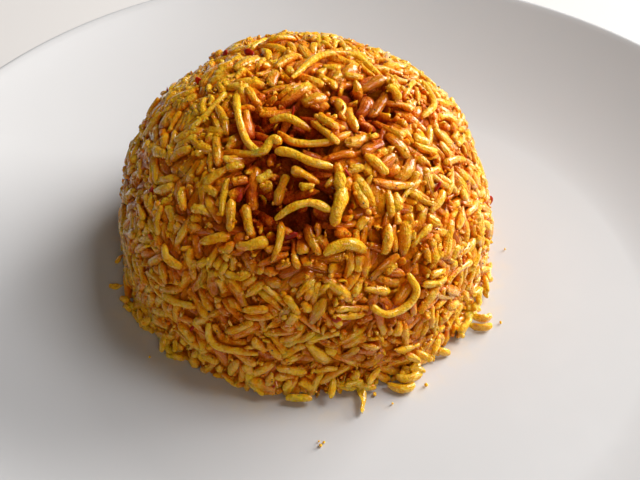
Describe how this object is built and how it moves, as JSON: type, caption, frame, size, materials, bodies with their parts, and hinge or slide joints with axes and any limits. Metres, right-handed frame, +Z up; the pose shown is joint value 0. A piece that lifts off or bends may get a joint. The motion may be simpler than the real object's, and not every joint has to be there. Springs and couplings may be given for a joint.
{
  "type": "jollof rice",
  "caption": "Dome of jollof rice turned out of a small bowl, standing on a round white coupe dinner plate, as a plated dish ready to set on a table.",
  "frame": {"origin": "under the plate's centre, on the surface that its foot ring stands on", "axes": "+Z up along the plate's axis; -Y towards the diner, the side with the broken patch in the rice; +X to the diner's right"},
  "size_m": [0.258, 0.258, 0.0647],
  "materials": {
    "china": "smooth glossy white glaze",
    "rice": "moist orange-yellow cooked rice with a light film of oil"
  },
  "bodies": {
    "root": {"plate": "china", "rice_heap": "rice"}
  },
  "joints": []
}
